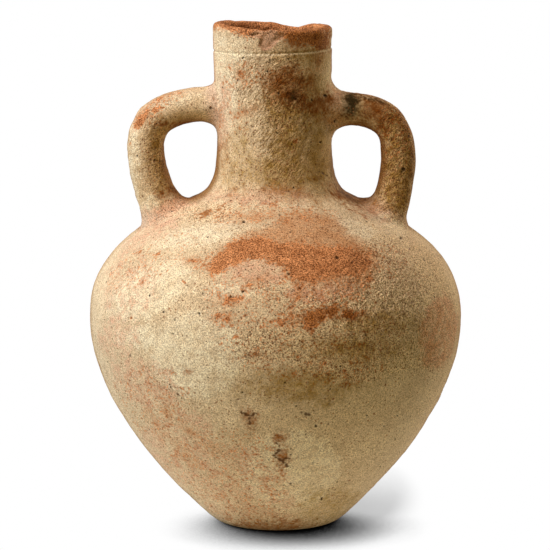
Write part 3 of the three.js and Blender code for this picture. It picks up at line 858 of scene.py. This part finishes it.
def makeLuting(side, end, blank, blankNormals):
    size = lutings[side, end]
    meeting = crossing(blank, 0.0, end == "lower")
    corner, handleOut = rowAt(blank, meeting), rowAt(blankNormals, meeting)
    wallOut = wallNormal(corner)
    step = np.linalg.norm(np.diff(blank, axis=0), axis=-1).mean(axis=0) * (-1 if end == "lower" else 1)
    rise = size["rise"] * (1 + waves(lutingGrid["unevenRise"], corner))
    bendOut = np.array([handles[side]["side"], 0.0, 1.0 if end == "upper" else 0.5])
    behind = (1 + np.clip(handleOut @ bendOut, -1, 1)) / 2
    spreading = mix(size["inner"], size["outer"], behind) * (1 + waves(lutingGrid["unevenSpread"], corner))
    along = unit(handleOut - (handleOut * wallOut).sum(axis=-1, keepdims=True) * wallOut)
    onWall = toWall(corner + along * spreading[:, None])
    onHandle, handleThere = rowAt(blank, meeting + rise / step), rowAt(blankNormals, meeting + rise / step)
    t = np.linspace(0, 1, lutingGrid["rows"])[:, None, None]
    curve = onWall * (1 - t) ** 2 + 2 * corner * t * (1 - t) + onHandle * t ** 2
    skirtWall = toWall(onWall + along * lutingGrid["skirt"], -lutingGrid["sunk"])
    skirtPlace = meeting + (rise + lutingGrid["skirt"]) / step
    skirtHandle = rowAt(blank, skirtPlace) - rowAt(blankNormals, skirtPlace) * lutingGrid["sunk"]
    outer = np.concatenate([skirtWall[None], curve, skirtHandle[None]])
    deep = lutingGrid["buried"]
    hidden = [onHandle - handleThere * deep, corner - (handleOut + wallOut) * deep, toWall(onWall, -deep)]
    normals = gridNormals(outer, handleOut + wallOut)
    fields = markFields(outer, normals)
    middle = np.sin(np.pi * np.linspace(0, 1, len(outer)))[:, None]
    fields["own"] = np.broadcast_to(middle ** 1.5, outer.shape[:-1])
    height = reliefOf(outer, normals) + middle * waves(lutingGrid["smear"], outer)
    rows, fields = joined(outer + normals * height[..., None], fields, np.stack(hidden))
    piece = putMesh(side + end.capitalize() + "Luting", rows, fields)
    return dressNode(piece, f"{side}_handle_{end}_luting")


handlePieces, lutingPieces = [], []
for side, handle in handles.items():
    blank, blankNormals = handleBlank(handle)
    handlePieces.append(makeHandle(side, handle, blank, blankNormals))
    for end in ("upper", "lower"):
        lutingPieces.append(makeLuting(side, end, blank, blankNormals))
print("handles made:", len(handlePieces), "lutings made:", len(lutingPieces))

# Shader groups


def newGroup(name, inputs, outputs):
    tree = bpy.data.node_groups.new(name, "ShaderNodeTree")
    for way, sockets in {"INPUT": inputs, "OUTPUT": outputs}.items():
        for label, kind in sockets.items():
            tree.interface.new_socket(label, in_out=way, socket_type="NodeSocket" + kind)
    return tree, tree.nodes.new("NodeGroupInput").outputs, tree.nodes.new("NodeGroupOutput").inputs


def put(tree, kind, sources, **settings):  # adds a node, with links or values for its inputs
    made = tree.nodes.new("ShaderNode" + kind)
    for key, value in settings.items():
        setattr(made, key, value)
    for socket, source in sources.items():
        if isinstance(source, bpy.types.NodeSocket):
            tree.links.new(source, made.inputs[socket])
        else:
            made.inputs[socket].default_value = source
    return made


def calc(tree, operation, *values):
    return put(tree, "Math", dict(enumerate(values)), operation=operation).outputs[0]


def vectors(tree, operation, *values):  # its first output is a vector, and the one called Value a number
    return put(tree, "VectorMath", dict(enumerate(values)), operation=operation).outputs


def spread(tree, value, low, high, toLow=0.0, toHigh=1.0, way="SMOOTHSTEP"):
    sources = {"Value": value, "From Min": low, "From Max": high, "To Min": toLow, "To Max": toHigh}
    return put(tree, "MapRange", sources, interpolation_type=way).outputs["Result"]


def blend(tree, share, low, high, way="MIX"):  # sockets 6 and 7 are the node's two colours
    return put(tree, "Mix", {0: share, 6: low, 7: high}, data_type="RGBA", blend_type=way).outputs[2]


def noise(tree, place, pitch, detail=2.0, rough=0.55, half=0.28):  # from about -1 to 1, pitch in mm
    sources = {"Vector": place, "Scale": 1 / pitch, "Detail": detail, "Roughness": rough}
    value = put(tree, "TexNoise", sources, noise_dimensions="3D").outputs[0]
    return spread(tree, value, 0.5 - half, 0.5 + half, -1.0, 1.0, "LINEAR")


# Round spots in a cell pattern: a cell's random colour sets the radius of its spot, as a share of the
# cell, and whether it has one
def spots(tree, place, pitch, least, most, share):
    cells = put(tree, "TexVoronoi", {"Vector": place, "Scale": 1 / pitch}, feature="F1")
    parts = put(tree, "SeparateColor", {0: cells.outputs["Color"]}).outputs
    radius = spread(tree, parts[1], 0.0, 1.0, least, most, "LINEAR")
    inside = spread(tree, cells.outputs["Distance"], radius, calc(tree, "MULTIPLY", radius, 0.7))
    return calc(tree, "MULTIPLY", inside, calc(tree, "LESS_THAN", parts[0], share))


def heap(tree, terms):  # sum of values, each with its weight
    total = 0.0
    for value, weight in terms:
        total = calc(tree, "MULTIPLY_ADD", value, weight, total)
    return total


grains = {
    "mottle": (24, 3.0),  # noises: pitch in mm, detail, roughness and half the range that is stretched
    "cloud": (5.5, 4.0, 0.62),
    "fine": (0.75, 1.0, 0.6, 0.17),
    "sand": (1.5, 1.5, 0.55),
    "rings": (1.8, 2.0),
    "small": (1.4, 0.24, 0.46),  # spots: pitch, least and greatest radius, and the share of cells with one
    "large": (3.4, 0.12, 0.28),
    "wells": (8.5, 0.05, 0.09, 0.5),
    "pinholes": (4.4, 0.07, 0.13, 0.3),
    "crowd": (0.20, 0.80),  # share of cells with a small spot outside and inside the speckled places
    "sandTurn": (0.0, 0.7, 0.0),  # the sand lies in short leaning ripples
    "sandStretch": (1.0, 1.0, 2.0),
    "ringStretch": (0.05, 0.05, 1.0),
    "gritHeight": (0.06, 0.12),  # mm, on smooth and on coarse slip
    "sandHeight": (0.03, 0.42),
}


# Grain: mottling at three pitches, sand in leaning ripples, rings of the wheel, brown specks of two sizes that
# crowd where the surface is speckled, painted shade in the sand's hollows on coarse slip, open pits, and the
# height that all of it gives in mm, a weighted sum
def makeGrain():
    inputs = {"Place": "Vector", "Coarse": "Float", "Speckled": "Float"}
    outputs = {label: "Float" for label in ("Mottle", "Cloud", "Fine", "Speck", "Pit", "Height")}
    tree, given, out = newGroup("grain", inputs, outputs)
    place, coarse = given["Place"], given["Coarse"]
    mottle, cloud, fine = (noise(tree, place, *grains[name]) for name in ("mottle", "cloud", "fine"))
    leaning = {"Vector": place, "Rotation": grains["sandTurn"], "Scale": grains["sandStretch"]}
    sand = noise(tree, put(tree, "Mapping", leaning, vector_type="TEXTURE").outputs[0], *grains["sand"])
    rings = noise(tree, vectors(tree, "MULTIPLY", place, grains["ringStretch"])[0], *grains["rings"])
    stirring = put(tree, "TexNoise", {"Vector": place, "Scale": 0.9, "Detail": 1.0}, noise_dimensions="3D")
    stirred = vectors(tree, "ADD", place, stirring.outputs[1])[0]
    even = spread(tree, given["Speckled"], 0.0, 1.0, *grains["crowd"], "LINEAR")
    crowd = calc(tree, "MULTIPLY_ADD", cloud, 0.35, even)
    small = spots(tree, stirred, *grains["small"], crowd)
    large = spots(tree, stirred, *grains["large"], calc(tree, "MULTIPLY", crowd, 0.5))
    # painted shade: the sand's hollows on coarse slip darken like specks
    hollowShade = calc(tree, "MULTIPLY", spread(tree, sand, 0.1, -0.9), coarse)
    speck = calc(tree, "MAXIMUM", calc(tree, "MAXIMUM", small, large), calc(tree, "MULTIPLY", hollowShade, 0.55))
    wells, pinholes = spots(tree, place, *grains["wells"]), spots(tree, stirred, *grains["pinholes"])
    pit = calc(tree, "MAXIMUM", wells, pinholes)
    grit = calc(tree, "MULTIPLY", fine, spread(tree, coarse, 0.0, 1.0, *grains["gritHeight"]))
    sandHeight = calc(tree, "MULTIPLY", sand, spread(tree, coarse, 0.0, 1.0, *grains["sandHeight"]))
    terms = [(grit, 1.0), (sandHeight, 1.0), (cloud, 0.12), (rings, 0.03), (speck, -0.12), (pit, -0.5)]
    for label, value in zip(outputs, (mottle, cloud, fine, speck, pit, heap(tree, terms))):
        tree.links.new(value, out[label])
    return tree


# Broken edge: a depth in mm inside a mark, stirred by noise of three pitches, then cut to a mask. The finest
# noise leaves grains on both sides of the edge
def makeBrokenEdge():
    inputs = {"Depth": "Float", "Place": "Vector", "Ragged": "Float", "Stipple": "Float", "Soft": "Float"}
    tree, given, out = newGroup("brokenEdge", inputs, {"Mask": "Float"})
    wide = noise(tree, given["Place"], 8, 2.0)
    narrow = noise(tree, given["Place"], 2.8, 3.0, 0.7, 0.2)
    flecks = noise(tree, given["Place"], 1.5, 2.0, 0.6, 0.15)
    stir = heap(tree, [(wide, 1.2), (narrow, 1.0)])
    depth = calc(tree, "MULTIPLY_ADD", stir, given["Ragged"], given["Depth"])
    depth = calc(tree, "MULTIPLY_ADD", flecks, given["Stipple"], depth)
    less = calc(tree, "MULTIPLY", given["Soft"], -1.0)
    tree.links.new(spread(tree, depth, less, given["Soft"]), out["Mask"])
    return tree


edges = {  # mask, the mark behind it, how far noise stirs and stipples its edge and its half softness, mm
    "Bare": ("bare", 1.4, 1.8, 1.1),
    "Flecked": ("flecks", 1.2, 2.4, 0.5),
    "Rubbed": ("rubbed", 1.6, 1.3, 4.2),
    "Scarred": ("scar", 0.5, 0.5, 0.3),
    "Thin": ("pink", 3.0, 2.0, 4.0),
    "Stain And Shade": ("stainAndShade", 2.4, 2.6, 3.6),
    "Soil And Shade": ("olive", 3.0, 2.0, 7.0),
    "Soot And Shade": ("sootAndShade", 1.8, 1.6, 4.2),
    "Thick And Lit": ("pale", 2.0, 1.6, 2.2),
    "Marked": ("dark", 0.4, 0.5, 0.3),
    "Pitted": ("pit", 0.0, 0.5, 0.35),
}
slipColours = {
    "Slip": (0.66, 0.505, 0.31, 1),
    "Light Slip": (0.78, 0.625, 0.40, 1),
    "Pale": (0.84, 0.72, 0.50, 1),
    "Pink": (0.68, 0.41, 0.255, 1),
    "Worn": (0.58, 0.31, 0.145, 1),
    "Clay": (0.60, 0.28, 0.12, 1),
    "Deep Clay": (0.44, 0.18, 0.068, 1),
    "Scar Colour": (0.54, 0.33, 0.20, 1),
    "Stain And Shade Colour": (0.35, 0.125, 0.024, 1),
    "Soot And Shade Colour": (0.065, 0.045, 0.015, 1),
    # painted shade, multiplied in round the handles' openings
    "Crook Shade Colour": (0.50, 0.36, 0.22, 1),
    "Olive": (0.57, 0.44, 0.18, 1),
    "Speck Colour": (0.115, 0.045, 0.014, 1),
    "Dark Grain": (0.30, 0.20, 0.11, 1),
    "Light Grain": (1.74, 1.72, 1.62, 1),
    "Burnt": (0.10, 0.045, 0.015, 1),
    # painted shade: near black inside pits and holes
    "Pit Shade": (0.03, 0.014, 0.005, 1),
}
coatInputs = {label: "Color" for label in slipColours} | {label: "Float" for label in edges}
coatInputs |= {label: "Float" for label in ("Line", "Crook Shade", "Speckled", "Mottle", "Cloud", "Fine", "Speck",
                                            "Pit", "Grain Height")}
coatLayers = [  # mask, colour, way, and the two values of the cloud between which the mask's share goes from
    # the third number to the fourth
    ("Thick And Lit", "Pale", "MIX", -0.6, 0.4, 0.3, 1.0),
    ("Thin", "Pink", "MIX", -0.5, 0.5, 1.0, 0.35),
    ("Rubbed", "Worn", "MIX", -0.5, 0.7, 1.0, 0.7),
    ("Bare", "Mixed Clay", "MIX"),
    ("Scarred", "Scar Colour", "MIX"),
    ("Stain And Shade", "Stain And Shade Colour", "MIX", -0.6, 0.5, 1.0, 0.55),
    ("Soot And Shade", "Soot And Shade Colour", "MIX"),
    ("Soil And Shade", "Olive", "MULTIPLY", -0.6, 0.5, 1.0, 0.6),
    # painted highlight along the groove's lower lip, also raised a little in the height
    ("Line", "Pale", "MIX", -1.0, 1.0, 0.7, 0.7),
    # painted shade in the crooks round the handles' openings
    ("Crook Shade", "Crook Shade Colour", "MULTIPLY"),
    ("Speck", "Mixed Specks", "MIX"),
    ("Grainy", "Mixed Grain", "MULTIPLY"),
    ("Marked", "Burnt", "MIX", -1.0, 1.0, 0.85, 0.85),
    # pits and holes painted near black as the shade inside them
    ("Hole", "Pit Shade", "MIX", -1.0, 1.0, 0.9, 0.9),
]
coatHeights = {"Grain Height": 1.0, "Bare": -0.12, "Rubbed": -0.05, "Thick And Lit": 0.06, "Marked": -0.3,
               "Pitted": -0.4, "Line": 0.15}  # weights


# Slip over clay: cream slip mottled by the grain, whiter where it lies thick or is painted lit, pinker where
# it is thin, clay coloured where it is rubbed and red clay where it is gone or flecked, then stains, soot and
# a soil cast with some painted shade among them, the groove's pale line as a painted highlight, painted shade
# in the crooks, brown to red specks, dark and light grains, scratches, and pits painted near black as the
# shade in them. Also its roughness, and its height in mm, a weighted sum
def makeSlipCoat():
    outputs = {"Colour": "Color", "Roughness": "Float", "Height": "Float"}
    tree, given, out = newGroup("slipCoat", coatInputs, outputs)
    parts = {label: given[label] for label in coatInputs}
    cloud = parts["Cloud"]
    parts["Bare"] = calc(tree, "MAXIMUM", parts["Bare"], calc(tree, "MULTIPLY", parts["Flecked"], 0.85))
    parts["Mixed Clay"] = blend(tree, spread(tree, cloud, -0.6, 0.6), parts["Deep Clay"], parts["Clay"])
    reddish = spread(tree, cloud, -0.7, 0.7)
    parts["Mixed Specks"] = blend(tree, reddish, parts["Speck Colour"], parts["Deep Clay"])
    evenly = spread(tree, parts["Fine"], -1.0, 1.0, way="LINEAR")
    parts["Mixed Grain"] = blend(tree, evenly, parts["Dark Grain"], parts["Light Grain"])
    seen = spread(tree, parts["Thick And Lit"], 0.0, 1.0, 0.85, 0.55)
    parts["Speck"] = calc(tree, "MULTIPLY", parts["Speck"], seen)
    rough = calc(tree, "MAXIMUM", parts["Bare"], calc(tree, "MULTIPLY", parts["Speckled"], 0.8))
    parts["Grainy"] = calc(tree, "MAXIMUM", rough, 0.50)
    parts["Hole"] = calc(tree, "MAXIMUM", parts["Pit"], parts["Pitted"])
    light = spread(tree, heap(tree, [(parts["Mottle"], 0.55), (cloud, 0.7)]), -0.6, 0.7)
    colour = blend(tree, light, parts["Slip"], parts["Light Slip"])
    for mask, over, way, *fade in coatLayers:
        share = calc(tree, "MULTIPLY", parts[mask], spread(tree, cloud, *fade)) if fade else parts[mask]
        colour = blend(tree, share, colour, parts[over], way)
    tree.links.new(colour, out["Colour"])
    roughness = calc(tree, "MULTIPLY_ADD", cloud, 0.04, spread(tree, parts["Bare"], 0.0, 1.0, 0.88, 0.95))
    tree.links.new(roughness, out["Roughness"])
    height = heap(tree, [(parts[label], weight) for label, weight in coatHeights.items()])
    tree.links.new(height, out["Height"])
    return tree


grainGroup = makeGrain()
brokenEdgeGroup = makeBrokenEdge()
slipCoatGroup = makeSlipCoat()
print("shader groups made")

# Materials: every piece has the common slip at its seams and, by its attribute own, its own tint away
# from them

ownTints = {
    "body_slip": {},
    "neck_slip": {"Slip": (0.68, 0.51, 0.31, 1), "Light Slip": (0.80, 0.63, 0.40, 1)},
    "handle_slip": {"Slip": (0.60, 0.43, 0.24, 1), "Light Slip": (0.74, 0.57, 0.35, 1)},
    "luting_clay": {"Slip": (0.60, 0.43, 0.29, 1), "Light Slip": (0.70, 0.52, 0.36, 1)},
}
edgeShadeColour = (0.66, 0.53, 0.40, 1)  # painted shade: what the colour is multiplied by where the jar turns away from the eye, darkening its outline
edgeShadeStart = 0.78  # how far it has turned there, 1 edge on, at the seams and, by slot, away from them
ownEdgeShadeStart = {"body_slip": 0.84, "neck_slip": 0.74, "handle_slip": 0.60, "luting_clay": 0.68}
clayShader = {"Specular IOR Level": 0.1, "Diffuse Roughness": 0.6}
coarseBand = (-5.0, 8.0)  # depths in a mark between which its grain grows
speckledBand = (-6.0, 6.0)


def attributeOf(tree, name):
    return put(tree, "Attribute", {}, attribute_name=name).outputs["Fac"]


def makeClay(slotName, ownTint):
    material = bpy.data.materials.new(slotName)
    material.use_nodes = True
    tree = material.node_tree
    shader = tree.nodes["Principled BSDF"]
    for label, value in clayShader.items():
        shader.inputs[label].default_value = value
    place = vectors(tree, "MULTIPLY", put(tree, "TexCoord", {}).outputs["Object"], (metre, metre, metre))[0]
    sources = {}
    for label, (mark, ragged, stipple, soft) in edges.items():
        given = {"Depth": attributeOf(tree, mark), "Place": place, "Ragged": ragged, "Stipple": stipple}
        sources[label] = put(tree, "Group", given | {"Soft": soft}, node_tree=brokenEdgeGroup).outputs["Mask"]
    coarse = spread(tree, attributeOf(tree, "coarse"), *coarseBand)
    speckled = spread(tree, attributeOf(tree, "speckled"), *speckledBand)
    given = {"Place": place, "Coarse": coarse, "Speckled": speckled}
    grain = put(tree, "Group", given, node_tree=grainGroup).outputs
    sources |= {label: grain[label] for label in ("Mottle", "Cloud", "Fine", "Speck", "Pit")}
    sources |= {"Grain Height": grain["Height"], "Speckled": speckled}
    sources |= {"Line": attributeOf(tree, "line"), "Crook Shade": attributeOf(tree, "crookShade")}
    ownShare = attributeOf(tree, "own")
    for label, colour in slipColours.items():
        sources[label] = blend(tree, ownShare, colour, ownTint[label]) if label in ownTint else colour
    coat = put(tree, "Group", sources, node_tree=slipCoatGroup).outputs
    bump = put(tree, "Bump", {"Height": coat["Height"], "Distance": 1 / metre, "Strength": 1.0})
    # painted shade: the colour darkens as the surface turns edge on to the eye
    start = calc(tree, "MULTIPLY_ADD", ownShare, ownEdgeShadeStart[slotName] - edgeShadeStart, edgeShadeStart)
    edgeShade = spread(tree, put(tree, "LayerWeight", {"Blend": 0.5}).outputs["Facing"], start, 1.0)
    colour = blend(tree, edgeShade, coat["Colour"], edgeShadeColour, "MULTIPLY")
    tree.links.new(colour, shader.inputs["Base Color"])
    tree.links.new(coat["Roughness"], shader.inputs["Roughness"])
    tree.links.new(bump.outputs["Normal"], shader.inputs["Normal"])
    return material


dressed = {
    "body_slip": [lowerBody, shoulder],
    "neck_slip": [neck],
    "handle_slip": handlePieces,
    "luting_clay": lutingPieces,
}
for slotName, slotPieces in dressed.items():
    material = makeClay(slotName, ownTints[slotName])
    for piece in slotPieces:
        piece.data.materials.append(material)
print("clays made and put on")

# Floor, light and background

stage = {
    "floorSize": 12000.0,
    "shadeReach": 60.0,  # how far the floor looks for what shades it, and which way, back and to the left
    "shadeLean": (-0.3, 0.6, 1.0),
    "shadeOpen": (0.16, 0.62),  # openness at which the floor is darkest and white
    "wideReach": 150.0,  # and a fainter, wider shade on the side away from the key lamp
    "wideLean": (-0.62, -0.45, 0.65),
    "wideOpen": (0.25, 0.85),
    "wideDark": 0.54,
    "wideCentre": (31.0, 66.0, 0.0),  # round here, two and a half times as far back as sideways
    "wideStretch": (1.0, 0.4, 1.0),
    "wideFade": (15.0, 62.0),
    "shadeCentre": (15.0, 20.0, 0.0),  # round here the floor shows its shade, and farther out plain white
    "shadeFade": (90.0, 150.0),
    "bounceRise": (26.0, 80.0),  # light that the floor throws back onto the jar: none under it, full past it
    "bounceFade": (120.0, 350.0),  # and where it dies away
    "bounce": (0.70, 0.64, 0.57, 1),
    "fill": (0.03, 0.03, 0.03, 1),
}
lamps = {  # direction from the jar, size in mm, colour and how bright a plain white facing it turns
    "key": {"from": (-0.75, -0.45, 0.50), "size": 800, "colour": (0.98, 0.95, 1), "level": 0.62},
    "left": {"from": (-0.95, -0.05, 0.35), "size": 800, "colour": (0.60, 0.80, 1), "level": 0.58},
    "top": {"from": (-0.15, -0.25, 1.00), "size": 1200, "colour": (1, 0.87, 0.90), "level": 0.48},
    "rear": {"from": (0.62, 0.70, 0.12), "size": 500, "colour": (1, 0.80, 0.55), "level": 1.16},
    "front": {"from": (0.05, -1.00, 0.15), "size": 1000, "colour": (1, 0.86, 0.40), "level": 0.20},
}
lampDistance = 1800.0


# A disc lamp of power P turns a white surface facing it at distance d to P / (pi d)^2
def makeLamp(name, lamp):
    data = bpy.data.lights.new(name, "AREA")
    data.shape = "DISK"
    data.size = lamp["size"] / metre
    data.color = lamp["colour"]
    distance = lampDistance / metre
    data.energy = lamp["level"] * (np.pi * distance) ** 2
    made = addObject(name, data)
    way = Vector(lamp["from"]).normalized()
    made.location = way * distance + Vector((0, 0, view["aim"][2] / metre))
    made.rotation_euler = way.to_track_quat("Z", "Y").to_euler()


def seenDirectly(tree):  # 1 for what the camera sees, also in gloss or through glass
    path = tree.nodes.new("ShaderNodeLightPath").outputs
    mirrored = calc(tree, "MAXIMUM", path["Is Glossy Ray"], path["Is Transmission Ray"])
    return calc(tree, "MAXIMUM", path["Is Camera Ray"], mirrored)


def makeWorld():
    world = bpy.data.worlds.new("world")
    world.use_nodes = True
    tree = world.node_tree
    colour = blend(tree, seenDirectly(tree), stage["fill"], (1, 1, 1, 1))
    tree.links.new(colour, tree.nodes["Background"].inputs["Color"])
    bpy.context.scene.world = world


def openness(tree, name):  # how open the floor is towards the lean of a shade, 1 with nothing near
    lean = put(tree, "CombineXYZ", dict(enumerate(Vector(stage[name + "Lean"]).normalized()))).outputs[0]
    sources = {"Distance": stage[name + "Reach"] / metre, "Normal": lean}
    return put(tree, "AmbientOcclusion", sources, samples=16).outputs["AO"]


def fade(tree, away, name, *ends):  # between the two distances of the stage
    near, far = stage[name]
    return spread(tree, away, near / metre, far / metre, *ends)


# Floor: white, with a near and a wide shade joined by the darker of the two, both gone farther out. To the
# jar's light it is a soft glow round the jar
def makeFloor():
    half = stage["floorSize"] / 2 / metre
    mesh = bpy.data.meshes.new("floor")
    corners = [(-half, -half, 0), (half, -half, 0), (half, half, 0), (-half, half, 0)]
    mesh.from_pydata(corners, [], [(0, 1, 2, 3)])
    floor = addObject("floor", mesh)
    material = bpy.data.materials.new("floor")
    material.use_nodes = True
    material.cycles.emission_sampling = "NONE"
    tree = material.node_tree
    tree.nodes.remove(tree.nodes["Principled BSDF"])
    place = put(tree, "TexCoord", {}).outputs["Object"]
    away = vectors(tree, "DISTANCE", place, Vector(stage["shadeCentre"]) / metre)["Value"]
    wideShade = spread(tree, openness(tree, "wide"), *stage["wideOpen"], stage["wideDark"], 1.0)
    fromWide = vectors(tree, "SUBTRACT", place, Vector(stage["wideCentre"]) / metre)[0]
    wideAway = vectors(tree, "LENGTH", vectors(tree, "MULTIPLY", fromWide, stage["wideStretch"])[0])["Value"]
    wideShade = calc(tree, "MAXIMUM", wideShade, fade(tree, wideAway, "wideFade"))
    shade = calc(tree, "MINIMUM", spread(tree, openness(tree, "shade"), *stage["shadeOpen"]), wideShade)
    strength = calc(tree, "MAXIMUM", shade, fade(tree, away, "shadeFade"))
    shown = put(tree, "Emission", {"Strength": strength}).outputs[0]
    fromAxis = vectors(tree, "DISTANCE", place, (0, 0, 0))["Value"]
    dying = fade(tree, away, "bounceFade", 1.0, 0.0)
    glow = calc(tree, "MULTIPLY", fade(tree, fromAxis, "bounceRise"), dying)
    bounce = put(tree, "Emission", {"Color": stage["bounce"], "Strength": glow}).outputs[0]
    mixed = put(tree, "MixShader", {0: seenDirectly(tree), 1: bounce, 2: shown})
    tree.links.new(mixed.outputs[0], tree.nodes["Material Output"].inputs["Surface"])
    mesh.materials.append(material)


makeWorld()
makeFloor()
for name, lamp in lamps.items():
    makeLamp(name, lamp)
bpy.context.scene.view_settings.view_transform = "Standard"
print("floor, lamps and world made")
